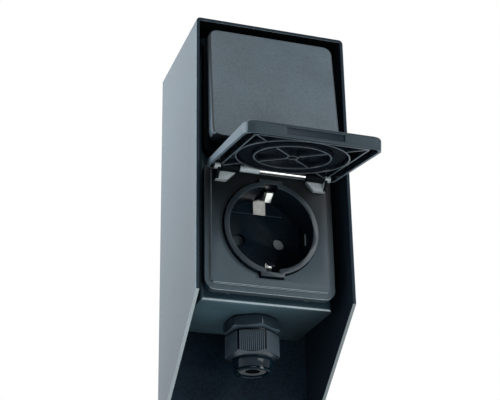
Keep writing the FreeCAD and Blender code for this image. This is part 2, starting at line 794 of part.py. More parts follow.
def make_gland_seal():
    """Rubber bush that closes on the cable when the cap nut is turned."""
    seal = upright(0, gland_out, gland_neck_bore - seat_gap, below_shelf(gland_neck_length),
                   below_shelf(gland_seal_start))
    rim = upright(0, gland_out, gland_neck_radius, below_shelf(gland_seal_shoulder),
                  below_shelf(gland_neck_length))
    nose = upright(0, gland_out, gland_mouth_radius - seat_gap, below_shelf(gland_end - gland_seal_recess),
                   below_shelf(gland_seal_shoulder))
    seal = fuse([seal, rim, nose])
    return seal.cut(upright(0, gland_out, gland_seal_bore, below_shelf(gland_end), below_shelf(0)))


write("hood", make_hood())
write("back_plate", make_back_plate())
write("hood_rivets", make_rivets())
write("inner_box", make_box())
write("box_seal", make_box_seal())
write("box_posts", make_posts())
write("box_screws", make_box_screws())

lid_shape = make_lid()
lid_seal_shape = make_lid_seal()
sockets = {"upper": (upper_z, upper_lid_angle), "lower": (lower_z, lower_lid_angle)}
for place, (z, angle) in sockets.items():
    write(place + "_flat_seal", make_flat_seal(z))
    write(place + "_frame", make_frame(z))
    write(place + "_insert", make_insert(z))
    write(place + "_base", make_base(z))
    write(place + "_contact_cover", make_contact_cover(z))
    write(place + "_earth_bracket", make_earth_bracket(z))
    write(place + "_live_contact", make_contact(-contact_x, z))
    write(place + "_neutral_contact", make_contact(contact_x, z))
    write(place + "_terminal_screws", make_terminal_screws(z))
    write(place + "_fixing_screws", make_fixing_screws(z))
    write(place + "_shutter", make_shutter(z))
    write(place + "_shutter_spring", make_shutter_spring(z))
    write(place + "_lid", hang(lid_shape, z, angle))
    write(place + "_lid_seal", hang(lid_seal_shape, z, angle))
    write(place + "_hinge_pin", make_pin(z))
    write(place + "_hinge_bush", make_bush(z))
    write(place + "_left_bearing", make_bearing(z, -1))
    write(place + "_right_bearing", make_bearing(z, 1))

write("live_wire", make_link_wire(-contact_x))
write("neutral_wire", make_link_wire(contact_x))
write("earth_wire", make_link_wire(0))
write("gland_body", make_gland_body())
write("gland_ring_seal", make_gland_ring())
write("gland_locknut", make_gland_nut())
write("gland_cap_nut", make_gland_cap())
write("gland_seal", make_gland_seal())
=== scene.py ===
import json
import math

import bmesh
import bpy
from mathutils import Matrix, Vector

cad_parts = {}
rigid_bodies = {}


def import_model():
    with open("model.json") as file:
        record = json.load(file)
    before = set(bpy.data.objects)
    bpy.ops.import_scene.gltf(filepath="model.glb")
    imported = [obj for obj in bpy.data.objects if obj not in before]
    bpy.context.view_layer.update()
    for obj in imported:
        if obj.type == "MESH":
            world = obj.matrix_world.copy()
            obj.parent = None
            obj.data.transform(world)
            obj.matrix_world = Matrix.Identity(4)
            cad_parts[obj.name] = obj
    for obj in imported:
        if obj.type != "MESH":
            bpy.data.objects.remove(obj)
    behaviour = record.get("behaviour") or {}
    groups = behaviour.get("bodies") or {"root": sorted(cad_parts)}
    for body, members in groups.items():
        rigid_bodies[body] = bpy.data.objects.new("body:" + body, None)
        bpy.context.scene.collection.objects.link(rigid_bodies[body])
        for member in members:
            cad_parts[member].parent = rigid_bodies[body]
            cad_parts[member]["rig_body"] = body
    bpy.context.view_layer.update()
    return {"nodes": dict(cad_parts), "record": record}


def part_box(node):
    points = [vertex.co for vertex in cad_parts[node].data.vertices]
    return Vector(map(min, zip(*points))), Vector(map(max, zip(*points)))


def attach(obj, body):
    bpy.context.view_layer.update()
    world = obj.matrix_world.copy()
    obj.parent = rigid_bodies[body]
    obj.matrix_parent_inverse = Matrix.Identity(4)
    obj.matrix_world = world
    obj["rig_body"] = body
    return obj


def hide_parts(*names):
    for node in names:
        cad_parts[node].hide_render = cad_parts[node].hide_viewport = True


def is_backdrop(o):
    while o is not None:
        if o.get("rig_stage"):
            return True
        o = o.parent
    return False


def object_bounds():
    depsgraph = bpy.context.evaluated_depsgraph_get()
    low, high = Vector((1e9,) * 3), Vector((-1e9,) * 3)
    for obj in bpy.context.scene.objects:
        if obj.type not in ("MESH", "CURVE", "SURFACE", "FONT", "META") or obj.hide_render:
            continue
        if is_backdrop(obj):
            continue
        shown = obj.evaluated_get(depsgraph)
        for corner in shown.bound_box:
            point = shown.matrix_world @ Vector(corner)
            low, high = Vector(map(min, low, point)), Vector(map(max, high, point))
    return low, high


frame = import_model()
print("frame loaded")

mm = 0.001
tiny = 1e-7  # metres, the least difference that counts
mergeGap = 0.002  # mm, points nearer than this are one
turnedGap = 0.005  # mm, the same where a spun form closes
flatAngle = 1.0  # degrees, triangles this flat to each other are one face


# small tools

def onlySelect(obj):
    if bpy.context.object and bpy.context.object.mode == "EDIT":
        bpy.ops.object.mode_set(mode="OBJECT")
    bpy.ops.object.select_all(action="DESELECT")
    obj.select_set(True)
    bpy.context.view_layer.objects.active = obj


def startPiece(name):  # the primitive just added becomes the named piece
    obj = bpy.context.object
    obj.name = name
    obj.data.name = name
    return obj


def settle(obj):  # place, turn and scale go into the mesh
    onlySelect(obj)
    bpy.ops.object.transform_apply(location=True, rotation=True, scale=True)


def editFaces(obj, wanted):  # edit mode with the wanted faces selected
    onlySelect(obj)
    bpy.ops.object.mode_set(mode="EDIT")
    bpy.ops.mesh.select_mode(type="FACE")
    bpy.ops.mesh.select_all(action="DESELECT")
    mesh = bmesh.from_edit_mesh(obj.data)
    for face in mesh.faces:
        if wanted(face):
            face.select_set(True)
    bmesh.update_edit_mesh(obj.data)


def editEdges(obj, wanted):
    onlySelect(obj)
    bpy.ops.object.mode_set(mode="EDIT")
    bpy.ops.mesh.select_mode(type="EDGE")
    bpy.ops.mesh.select_all(action="DESELECT")
    mesh = bmesh.from_edit_mesh(obj.data)
    for edge in mesh.edges:
        if wanted(edge):
            edge.select_set(True)
    mesh.select_flush_mode()
    bmesh.update_edit_mesh(obj.data)


def objectMode():
    bpy.ops.object.mode_set(mode="OBJECT")


def applyModifier(obj, kind, **settings):
    onlySelect(obj)
    made = obj.modifiers.new(kind.title(), kind)
    for key, value in settings.items():
        setattr(made, key, value)
    bpy.ops.object.modifier_apply(modifier=made.name)


def copyNode(node, name):
    # a merged copy of a CAD node, with its flat faces joined again
    source = frame["nodes"][node]
    obj = bpy.data.objects.new(name, source.data.copy())
    obj.data.name = name
    bpy.context.scene.collection.objects.link(obj)
    obj.data.materials.clear()
    if obj.data.has_custom_normals:
        onlySelect(obj)
        bpy.ops.mesh.customdata_custom_splitnormals_clear()
    editFaces(obj, lambda face: True)
    bpy.ops.mesh.remove_doubles(threshold=mergeGap * mm)
    bpy.ops.mesh.dissolve_limited(angle_limit=math.radians(flatAngle))
    objectMode()
    return obj


def copyPiece(obj, name):  # the copy has its own mesh
    copied = obj.copy()
    copied.data = obj.data.copy()
    copied.name = copied.data.name = name
    bpy.context.scene.collection.objects.link(copied)
    return copied


def roundEdges(obj, width, segments=2, angle=32):
    applyModifier(obj, "BEVEL", width=width, segments=segments, limit_method="ANGLE",
                  angle_limit=math.radians(angle), use_clamp_overlap=True, loop_slide=True)


def smooth(obj, angle=30):
    onlySelect(obj)
    bpy.ops.object.shade_smooth_by_angle(angle=math.radians(angle))


def moveWith(obj, node):  # the piece takes the node's body
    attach(obj, frame["nodes"][node]["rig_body"])


def standFor(obj, node):  # the node is hidden behind the piece
    moveWith(obj, node)
    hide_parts(node)


def coat(obj, finish):  # one finish all over
    obj.data.materials.clear()
    obj.data.materials.append(materials[finish])


def finishFaces(obj, finish, wanted):  # a second finish on some of the faces
    obj.data.materials.append(materials[finish])
    editFaces(obj, wanted)
    obj.active_material_index = len(obj.data.materials) - 1
    bpy.ops.object.material_slot_assign()
    objectMode()


def cutBy(obj, point, normal, fill=True, outer=False):  # outer drops what the normal points to
    editFaces(obj, lambda face: True)
    bpy.ops.mesh.bisect(plane_co=[p * mm for p in point], plane_no=normal, use_fill=fill,
                        clear_outer=outer, threshold=tiny)
    objectMode()


# shader maths

class Wire:
    def __init__(self, tree, socket=None):
        self.tree = tree
        self.socket = socket

    def node(self, kind, settings=None, inputs=None, out=0):
        made = self.tree.nodes.new(kind)
        for key, value in (settings or {}).items():
            setattr(made, key, value)
        for key, value in (inputs or {}).items():
            if isinstance(value, Wire):
                self.tree.links.new(value.socket, made.inputs[key])
            else:
                made.inputs[key].default_value = value
        return Wire(self.tree, made.outputs[out]) if made.outputs else made

    def maths(self, operation, first, second):
        return self.node("ShaderNodeMath", {"operation": operation}, {0: first, 1: second})

    def __add__(self, other):
        return self.maths("ADD", self, other)

    def __radd__(self, other):
        return self.maths("ADD", other, self)

    def __mul__(self, other):
        return self.maths("MULTIPLY", self, other)

    def __rmul__(self, other):
        return self.maths("MULTIPLY", other, self)

    def step(self, low, high):  # 0 below low, 1 above high
        return self.node("ShaderNodeMapRange", {"clamp": True},
                         {"Value": self, "From Min": low, "From Max": high})

    def blend(self, first, second):  # colours, by this factor
        return self.node("ShaderNodeMix", {"data_type": "RGBA"}, {0: self, 6: first, 7: second}, out=2)


def newMaterial(name, colour, roughness, metallic=0.0, specular=0.5):
    material = bpy.data.materials.new(name)
    material.use_nodes = True
    tree = material.node_tree
    shader = tree.nodes["Principled BSDF"]
    shader.inputs["Base Color"].default_value = (*colour, 1)
    shader.inputs["Roughness"].default_value = roughness
    shader.inputs["Metallic"].default_value = metallic
    shader.inputs["Specular IOR Level"].default_value = specular
    start = Wire(tree)
    place = start.node("ShaderNodeTexCoord", out=3)
    return material, shader, start, place


def plug(start, value, socket):
    start.tree.links.new(value.socket, socket)


def noise(start, place, size, detail, roughness):  # size is one grain, in metres
    return start.node("ShaderNodeTexNoise", {}, {"Vector": place, "Scale": 1 / size, "Detail": detail,
                                                 "Roughness": roughness})


def bump(start, shader, height, distance, strength):
    made = start.node("ShaderNodeBump", {}, {"Strength": strength, "Distance": distance, "Height": height})
    plug(start, made, shader.inputs["Normal"])


noiseSpan = (0.3, 0.7)  # noise below the first counts as 0, above the second as 1
grainShare = 0.6  # of the colour's change, the rest follows the slow cloudiness


def grainy(name, look):
    # moulded or coated surface: fine grain and slow cloudiness in its colour
    material, shader, start, place = newMaterial(name, look["colour"], look["roughness"],
                                                 specular=look.get("specular", 0.5))
    grain = noise(start, place, look["grain"], detail=2.0, roughness=0.6)
    cloud = noise(start, place, look["cloud"], detail=3.0, roughness=0.5)
    dark = (*[c * (1 - look["mottle"]) for c in look["colour"]], 1)
    light = (*[min(1, c * (1 + look["mottle"])) for c in look["colour"]], 1)
    speck = grain.step(*noiseSpan) * grainShare + cloud.step(*noiseSpan) * (1 - grainShare)
    colour = speck.blend(dark, light)
    if "fade" in look:  # painted shade: the colour is darker towards one side of the object
        fade = look["fade"]
        along = start.node("ShaderNodeSeparateXYZ", {}, {0: place}, out=fade["axis"])
        paintedShade = along.step(fade["start"] * mm, fade["end"] * mm) * (1 - fade["share"])
        colour = paintedShade.blend(colour, (0, 0, 0, 1))
    plug(start, colour, shader.inputs["Base Color"])
    rough = cloud.step(*noiseSpan) * look["roughSpread"] + (look["roughness"] - look["roughSpread"] / 2)
    plug(start, rough, shader.inputs["Roughness"])
    bump(start, shader, grain, look["depth"], look["strength"])
    return material


def metal(name, look):  # brushed or drawn metal, a little duller in slow patches
    material, shader, start, place = newMaterial(name, look["colour"], look["roughness"], metallic=1.0)
    stretched = start.node("ShaderNodeMapping", {}, {"Vector": place, "Scale": look["stretch"]})
    scratch = noise(start, stretched, look["grain"], detail=3.0, roughness=0.6)
    cloud = noise(start, place, look["cloud"], detail=2.0, roughness=0.5)
    rough = scratch.step(*noiseSpan) * look["roughSpread"] + (look["roughness"] - look["roughSpread"] / 2)
    plug(start, rough, shader.inputs["Roughness"])
    dark = (*[c * look["dull"] for c in look["colour"]], 1)
    plug(start, cloud.step(*noiseSpan).blend(dark, (*look["colour"], 1)), shader.inputs["Base Color"])
    bump(start, shader, scratch, look["depth"], look["strength"])
    return material


finishes = {
    # the hood's coat, with painted shade towards the bottom
    "powderCoat": {"colour": (0.046, 0.057, 0.065), "roughness": 0.46, "roughSpread": 0.06,
                   "fade": {"axis": 2, "start": 60, "end": -90, "share": 0.25},
                   "specular": 0.7, "grain": 1.0 * mm, "cloud": 18 * mm, "mottle": 0.5,
                   "depth": 0.14 * mm, "strength": 0.6},
    # painted shade inside the hood and on the earth clips
    "innerCoat": {"colour": (0.0034, 0.0068, 0.0112), "roughness": 0.55, "roughSpread": 0.06,
                  "specular": 0.14, "grain": 0.55 * mm, "cloud": 18 * mm, "mottle": 0.3,
                  "depth": 0.08 * mm, "strength": 0.5},
    "deepShade": {"colour": (0.0008, 0.0015, 0.0018), "roughness": 0.7, "roughSpread": 0.06,
                  "specular": 0.04, "grain": 0.55 * mm, "cloud": 18 * mm, "mottle": 0.3,
                  "depth": 0.05 * mm, "strength": 0.4},
    # painted shade on the back plate
    "backCoat": {"colour": (0.0030, 0.0088, 0.0150), "roughness": 0.6, "roughSpread": 0.06,
                 "specular": 0.10, "grain": 1.1 * mm, "cloud": 18 * mm, "mottle": 0.8,
                 "depth": 0.08 * mm, "strength": 0.5},
    # painted shade on the hood's front rim
    "frontRim": {"colour": (0.006, 0.014, 0.022), "roughness": 0.55, "roughSpread": 0.06,
                 "specular": 0.12, "grain": 0.55 * mm, "cloud": 18 * mm, "mottle": 0.3,
                 "depth": 0.05 * mm, "strength": 0.4},
    # painted highlight on the hood's outer front edges
    "hoodEdge": {"colour": (0.42, 0.50, 0.57), "roughness": 0.35, "roughSpread": 0.06,
                 "specular": 0.7, "grain": 0.4 * mm, "cloud": 14 * mm, "mottle": 0.15,
                 "depth": 0.02 * mm, "strength": 0.3},
    # painted highlight on the slanted cut edges, with painted shade towards the right
    "edgeCoat": {"colour": (0.19, 0.215, 0.22), "roughness": 0.4, "roughSpread": 0.06,
                 "fade": {"axis": 0, "start": 0, "end": 34, "share": 0.55},
                 "specular": 0.8, "grain": 0.4 * mm, "cloud": 18 * mm, "mottle": 0.2,
                 "depth": 0.03 * mm, "strength": 0.4},
    # the box's coat, with painted shade towards the right
    "boxCoat": {"colour": (0.037, 0.066, 0.080), "roughness": 0.5, "roughSpread": 0.06,
                "fade": {"axis": 0, "start": -8, "end": 27, "share": 0.3},
                "specular": 0.22, "grain": 0.45 * mm, "cloud": 18 * mm, "mottle": 0.25,
                "depth": 0.06 * mm, "strength": 0.5},
    # painted highlight along the shelf's front edge
    "boxEdge": {"colour": (0.24, 0.275, 0.285), "roughness": 0.45, "roughSpread": 0.06,
                "specular": 0.4, "grain": 0.45 * mm, "cloud": 18 * mm, "mottle": 0.25,
                "depth": 0.03 * mm, "strength": 0.4},
    # painted shade on the box's front
    "boxFront": {"colour": (0.010, 0.022, 0.030), "roughness": 0.5, "roughSpread": 0.06,
                 "specular": 0.1, "grain": 0.45 * mm, "cloud": 18 * mm, "mottle": 0.25,
                 "depth": 0.06 * mm, "strength": 0.5},
    "lidPlastic": {"colour": (0.055, 0.073, 0.087), "roughness": 0.5, "roughSpread": 0.06,
                   "specular": 0.4, "grain": 0.9 * mm, "cloud": 14 * mm, "mottle": 0.3,
                   "depth": 0.04 * mm, "strength": 0.5},
    "lidShade": {"colour": (0.002, 0.0035, 0.005), "roughness": 0.55, "roughSpread": 0.06,
                 "specular": 0.08, "grain": 0.6 * mm, "cloud": 14 * mm, "mottle": 0.3,
                 "depth": 0.04 * mm, "strength": 0.5},
    # painted shade on the lid's free edge, and a painted highlight on the well seams
    "lidEdge": {"colour": (0.017, 0.027, 0.034), "roughness": 0.5, "roughSpread": 0.06,
                "specular": 0.2, "grain": 0.6 * mm, "cloud": 14 * mm, "mottle": 0.35,
                "depth": 0.04 * mm, "strength": 0.5},
    # painted shade in the grip recess
    "lidGrip": {"colour": (0.008, 0.015, 0.020), "roughness": 0.5, "roughSpread": 0.06,
                "specular": 0.12, "grain": 0.6 * mm, "cloud": 14 * mm, "mottle": 0.3,
                "depth": 0.04 * mm, "strength": 0.5},
    # painted shade on the lid's rounded side edges
    "lidRim": {"colour": (0.028, 0.031, 0.033), "roughness": 0.45, "roughSpread": 0.06,
               "specular": 0.22, "grain": 0.6 * mm, "cloud": 14 * mm, "mottle": 0.2,
               "depth": 0.03 * mm, "strength": 0.4},
    # painted highlight on the guide ribs' ends
    "shinyEdge": {"colour": (0.15, 0.18, 0.195), "roughness": 0.3, "roughSpread": 0.06,
                  "specular": 0.8, "grain": 0.4 * mm, "cloud": 14 * mm, "mottle": 0.15,
                  "depth": 0.02 * mm, "strength": 0.3},
    # painted shade on the frame's undersides
    "frameUnder": {"colour": (0.026, 0.035, 0.041), "roughness": 0.45, "roughSpread": 0.06,
                   "specular": 0.25, "grain": 0.4 * mm, "cloud": 14 * mm, "mottle": 0.2,
                   "depth": 0.03 * mm, "strength": 0.4},
    "shadowPlastic": {"colour": (0.001, 0.0022, 0.0034), "roughness": 0.6, "roughSpread": 0.06,
                      "specular": 0.05, "grain": 0.4 * mm, "cloud": 14 * mm, "mottle": 0.2,
                      "depth": 0.03 * mm, "strength": 0.4},
    "collarFace": {"colour": (0.016, 0.023, 0.029), "roughness": 0.42, "roughSpread": 0.06,
                   "specular": 0.3, "grain": 0.4 * mm, "cloud": 14 * mm, "mottle": 0.2,
                   "depth": 0.03 * mm, "strength": 0.4},
    # painted highlight line on the raised face's edges
    "frameLine": {"colour": (0.30, 0.34, 0.35), "roughness": 0.35, "roughSpread": 0.06,
                  "specular": 0.7, "grain": 0.4 * mm, "cloud": 14 * mm, "mottle": 0.15,
                  "depth": 0.02 * mm, "strength": 0.3},
    "tabFace": {"colour": (0.25, 0.27, 0.275), "roughness": 0.42, "roughSpread": 0.06,
                "specular": 0.45, "grain": 0.5 * mm, "cloud": 14 * mm, "mottle": 0.2,
                "depth": 0.03 * mm, "strength": 0.4},
    # painted shade on the frame's left rim
    "frameRim": {"colour": (0.009, 0.019, 0.028), "roughness": 0.42, "roughSpread": 0.06,
                 "specular": 0.15, "grain": 0.5 * mm, "cloud": 14 * mm, "mottle": 0.3,
                 "depth": 0.03 * mm, "strength": 0.4},
    # the frame's plastic, with painted shade from the open lid towards the top
    "framePlastic": {"colour": (0.037, 0.052, 0.062), "roughness": 0.5, "roughSpread": 0.06,
                     "fade": {"axis": 2, "start": -20, "end": 10, "share": 0.08},
                     "specular": 0.2, "grain": 0.5 * mm, "cloud": 14 * mm, "mottle": 0.3,
                     "depth": 0.03 * mm, "strength": 0.4},
    # painted shade on the lid's inside and ribs
    "lidInside": {"colour": (0.004, 0.006, 0.009), "roughness": 0.22, "roughSpread": 0.1,
                  "specular": 0.35, "grain": 0.3 * mm, "cloud": 9 * mm, "mottle": 0.15,
                  "depth": 0.02 * mm, "strength": 0.3},
    # painted highlights on the rib feet and the collar's edge
    "ribPlastic": {"colour": (0.055, 0.070, 0.080), "roughness": 0.4, "roughSpread": 0.08,
                   "specular": 0.5, "grain": 0.3 * mm, "cloud": 9 * mm, "mottle": 0.1,
                   "depth": 0.02 * mm, "strength": 0.3},
    "wellPlastic": {"colour": (0.0016, 0.0055, 0.0100), "roughness": 0.45, "roughSpread": 0.08,
                    "specular": 0.07, "grain": 0.8 * mm, "cloud": 9 * mm, "mottle": 0.6,
                    "depth": 0.03 * mm, "strength": 0.35},
    "wellWall": {"colour": (0.0018, 0.0040, 0.0065), "roughness": 0.3, "roughSpread": 0.08,
                 "specular": 0.35, "grain": 0.45 * mm, "cloud": 9 * mm, "mottle": 0.2,
                 "depth": 0.02 * mm, "strength": 0.3},
    "shutterShade": {"colour": (0.035, 0.045, 0.052), "roughness": 0.5, "roughSpread": 0.1,
                     "specular": 0.3, "grain": 0.25 * mm, "cloud": 6 * mm, "mottle": 0.08,
                     "depth": 0.015 * mm, "strength": 0.3},
    # painted sheen on the upper earth clip's pad
    "satinClip": {"colour": (0.52, 0.50, 0.46), "roughness": 0.35, "roughSpread": 0.1,
                  "specular": 0.8, "grain": 0.3 * mm, "cloud": 2.5 * mm, "mottle": 0.35,
                  "depth": 0.02 * mm, "strength": 0.3},
    "greyPlastic": {"colour": (0.27, 0.30, 0.31), "roughness": 0.45, "roughSpread": 0.1,
                    "specular": 0.5, "grain": 0.25 * mm, "cloud": 6 * mm, "mottle": 0.08,
                    "depth": 0.015 * mm, "strength": 0.3},
    "glandNylon": {"colour": (0.009, 0.016, 0.022), "roughness": 0.3, "roughSpread": 0.08,
                   "specular": 0.6, "grain": 0.3 * mm, "cloud": 7 * mm, "mottle": 0.1,
                   "depth": 0.012 * mm, "strength": 0.25},
    # painted shade on the cap's flats between the flutes
    "capFlat": {"colour": (0.0004, 0.0015, 0.0032), "roughness": 0.35, "roughSpread": 0.08,
                "specular": 0.08, "grain": 0.3 * mm, "cloud": 7 * mm, "mottle": 0.1,
                "depth": 0.012 * mm, "strength": 0.25},
    # painted highlights on the flutes and the base's lower chamfer
    "capRidge": {"colour": (0.050, 0.072, 0.090), "roughness": 0.4, "roughSpread": 0.08,
                 "specular": 0.25, "grain": 0.3 * mm, "cloud": 7 * mm, "mottle": 0.1,
                 "depth": 0.012 * mm, "strength": 0.25},
    "capDome": {"colour": (0.0018, 0.0065, 0.0105), "roughness": 0.1, "roughSpread": 0.06,
                "specular": 0.17, "grain": 0.3 * mm, "cloud": 7 * mm, "mottle": 0.1,
                "depth": 0.01 * mm, "strength": 0.2},
    "softSeal": {"colour": (0.0025, 0.0045, 0.0075), "roughness": 0.6, "roughSpread": 0.1,
                 "specular": 0.08, "grain": 0.4 * mm, "cloud": 8 * mm, "mottle": 0.15,
                 "depth": 0.03 * mm, "strength": 0.4},
    "greyRubber": {"colour": (0.040, 0.045, 0.045), "roughness": 0.6, "roughSpread": 0.1,
                   "specular": 0.4, "grain": 0.4 * mm, "cloud": 5 * mm, "mottle": 0.2,
                   "depth": 0.03 * mm, "strength": 0.4},
}
metals = {
    "brightPin": {"colour": (0.64, 0.62, 0.59), "roughness": 0.16, "roughSpread": 0.08,
                  "grain": 0.4 * mm, "cloud": 5 * mm, "stretch": (0.08, 1, 1), "depth": 0.01 * mm,
                  "strength": 0.15, "dull": 0.8},
    "nickelClip": {"colour": (0.80, 0.78, 0.72), "roughness": 0.22, "roughSpread": 0.1,
                   "grain": 0.5 * mm, "cloud": 4 * mm, "stretch": (1, 0.2, 1), "depth": 0.01 * mm,
                   "strength": 0.2, "dull": 0.8},
    "zincSteel": {"colour": (0.55, 0.56, 0.58), "roughness": 0.35, "roughSpread": 0.15,
                  "grain": 0.5 * mm, "cloud": 3 * mm, "stretch": (1, 1, 1), "depth": 0.01 * mm,
                  "strength": 0.3, "dull": 0.8},
}
wireColours = {"live_wire": (0.12, 0.05, 0.02), "neutral_wire": (0.02, 0.07, 0.35),
               "earth_wire": (0.16, 0.34, 0.03)}

materials = {name: grainy(name, look) for name, look in finishes.items()}
materials.update({name: metal(name, look) for name, look in metals.items()})
for node, colour in wireColours.items():
    materials[node] = grainy(node + "Insulation", {**finishes["greyPlastic"], "colour": colour,
                                                   "roughness": 0.35})
print("materials made:", len(materials))

slotFinish = {"coated_sheet": "powderCoat", "box_sheet": "boxCoat", "zinc_steel": "zincSteel",
              "pin_steel": "brightPin", "plated_brass": "nickelClip", "soft_seal": "softSeal",
              "grey_rubber": "greyRubber", "socket_plastic": "framePlastic",
              "lid_plastic": "lidPlastic", "well_plastic": "wellPlastic",
              "light_plastic": "greyPlastic", "gland_plastic": "glandNylon",
              "brown_insulation": "live_wire", "blue_insulation": "neutral_wire",
              "green_insulation": "earth_wire"}
nodeSlot = {row["node"]: row["material_slot"] for row in frame["record"]["subparts"]}
for node, obj in frame["nodes"].items():
    coat(obj, slotFinish[nodeSlot[node]])


# pieces that stand for CAD nodes

roundings = {  # node: edge rounding in mm, segments
    "hood": (0.3, 4), "inner_box": (0.12, 2), "back_plate": (0.2, 1),
    "upper_frame": (0.32, 2), "lower_frame": (0.5, 3),
    "upper_insert": (0.18, 2), "lower_insert": (0.18, 2), "gland_seal": (0.2, 2),
    "upper_left_bearing": (0.2, 2), "upper_right_bearing": (0.2, 2),
    "lower_left_bearing": (0.2, 2), "lower_right_bearing": (0.2, 2),
    "upper_hinge_bush": (0.2, 2), "lower_hinge_bush": (0.2, 2),
    "upper_hinge_pin": (0.25, 2), "lower_hinge_pin": (0.25, 2),
    "upper_earth_bracket": (0.12, 2), "lower_earth_bracket": (0.12, 2),
    "upper_shutter": (0.1, 2), "lower_shutter": (0.1, 2),
}
# mm out from the wall, in order along the clip, and how far its two rows of points move
clip = {"padFrom": 38.0, "roofTo": 41.7, "neckTo": 49.2, "lowShine": (49.55, 50.4),
        "crease": 51.2, "bend": 51.7, "bendBack": 1.5, "bendIn": 3.1,
        "end": 54.0, "endIn": 1.3, "near": 0.1}


def bendTips(piece, middle):  # the two spring tips lean further in towards the plug
    for side in (-1, 1):
        for out, back, inward in ((clip["end"], 0, clip["endIn"]),
                                  (clip["bend"], clip["bendBack"], clip["bendIn"])):
            onlySelect(piece)
            bpy.ops.object.mode_set(mode="EDIT")
            bpy.ops.mesh.select_mode(type="VERT")
            bpy.ops.mesh.select_all(action="DESELECT")
            mesh = bmesh.from_edit_mesh(piece.data)
            for vert in mesh.verts:
                if abs(vert.co.y / mm + out) < clip["near"] and side * (vert.co.z - middle) > 0:
                    vert.select_set(True)
            bmesh.update_edit_mesh(piece.data)
            bpy.ops.transform.translate(value=(0, back * mm, -side * inward * mm))
            objectMode()


def centreOf(node):
    low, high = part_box(node)
    return (low + high) / 2


pieces = {}
for node, (width, segments) in roundings.items():
    words = node.split("_")
    name = words[0] + "".join(word.title() for word in words[1:]) + "Piece"
    piece = copyNode(node, name)
    if node.endswith("earth_bracket"):
        bendTips(piece, centreOf(words[0] + "_insert").z)
    roundEdges(piece, width * mm, segments)
    smooth(piece)
    coat(piece, slotFinish[nodeSlot[node]])
    standFor(piece, node)
    pieces[node] = piece


def place(face):  # a face's centre in mm
    return face.calc_center_median() / mm


# The second finishes go by a face's place in mm and by how far its normal points along an axis.
# The hood has painted shade inside and on its front rim, and painted highlights on the rounding of its
# front edges and on its slanted cut edges.
hoodSheet = {"front": -60.0, "foot": -2.0, "inside": -0.01, "flat": 0.95, "wall": 0.9, "slant": 0.3}


def insideHood(face):
    return face.normal.x * place(face).x < hoodSheet["inside"]


def topOrLeftInside(face):
    towardsRight = face.normal.x > hoodSheet["wall"] and place(face).x < 0
    return place(face).z > 0 and (face.normal.z < -hoodSheet["wall"] or towardsRight)


def frontRim(face):
    return face.normal.y < -hoodSheet["flat"] and place(face).y < hoodSheet["front"]


def outerBevel(face):  # the rounding between the hood's outside and its front rim
    outwards = face.normal.x * place(face).x > hoodSheet["slant"] or face.normal.z > hoodSheet["slant"]
    return (-hoodSheet["flat"] < face.normal.y < -hoodSheet["slant"]
            and place(face).y < hoodSheet["front"] and outwards)


def slantedEdge(face):
    return (face.normal.z < -hoodSheet["slant"] and face.normal.y < -hoodSheet["slant"]
            and place(face).y < hoodSheet["foot"])


# painted shade inside and on the front rim, painted highlights on the outer rounding and the slanted cut
# edges
for finish, wanted in (("innerCoat", insideHood), ("deepShade", topOrLeftInside),
                       ("frontRim", frontRim), ("hoodEdge", outerBevel), ("edgeCoat", slantedEdge)):
    finishFaces(pieces["hood"], finish, wanted)
# painted shade over the whole back plate
finishFaces(pieces["back_plate"], "backCoat", lambda face: True)

# the box: painted shade on its front, and a painted highlight along the shelf's front edge
box = {"flat": 0.9, "edge": (-0.8, -0.5), "slant": 0.3, "shelf": -40.0}
finishFaces(pieces["inner_box"], "boxFront", lambda face: face.normal.y < -box["flat"])
finishFaces(pieces["inner_box"], "boxEdge", lambda face:
            box["edge"][0] < face.normal.z < box["edge"][1]
            and face.normal.y < -box["slant"] and place(face).z < box["shelf"])

# the frames: the upper one all in painted shade, the lower one with painted shade on its undersides and
# left rim and a painted highlight line along two edges
socketFrame = {"left": -27.0, "line": (-27.2, -26.5), "bottom": -30.0, "flat": 0.9, "steep": 0.6,
               "slant": 0.3}
finishFaces(pieces["upper_frame"], "shadowPlastic", lambda face: True)
finishFaces(pieces["lower_frame"], "frameUnder", lambda face: face.normal.z < -socketFrame["flat"])
finishFaces(pieces["lower_frame"], "frameRim", lambda face:
            place(face).x < socketFrame["left"] and face.normal.x < socketFrame["slant"])


def raisedEdge(face):  # the raised face's lower and left edges
    low = face.normal.z < -socketFrame["steep"] and place(face).z < socketFrame["bottom"]
    left = (face.normal.x < -socketFrame["steep"]
            and socketFrame["line"][0] < place(face).x < socketFrame["line"][1])
    return face.normal.y < -socketFrame["slant"] and (low or left)


# a painted highlight line along the raised face's lower and left edges
finishFaces(pieces["lower_frame"], "frameLine", raisedEdge)

# the bearings: the inner lower corner is cut on a slant, and the outer lower part is in painted shade
tab = {"near": 15.6, "across": 4.9, "foot": 5.2, "up": 2.7, "shadeFrom": 24.5, "shadeBelow": 1.5}
for level in ("upper", "lower"):
    hingeZ = centreOf(level + "_hinge_pin").z / mm
    for side, word in ((-1, "left"), (1, "right")):
        piece = pieces[level + "_" + word + "_bearing"]
        cutBy(piece, (side * (tab["near"] + tab["across"]), 0, hingeZ - tab["foot"]),
              (-side * tab["up"], 0, -tab["across"]), outer=True)
        finishFaces(piece, "tabFace", lambda face: True)
        finishFaces(piece, "shadowPlastic", lambda face:
                    abs(place(face).x) > tab["shadeFrom"]
                    and place(face).z < hingeZ - tab["shadeBelow"])

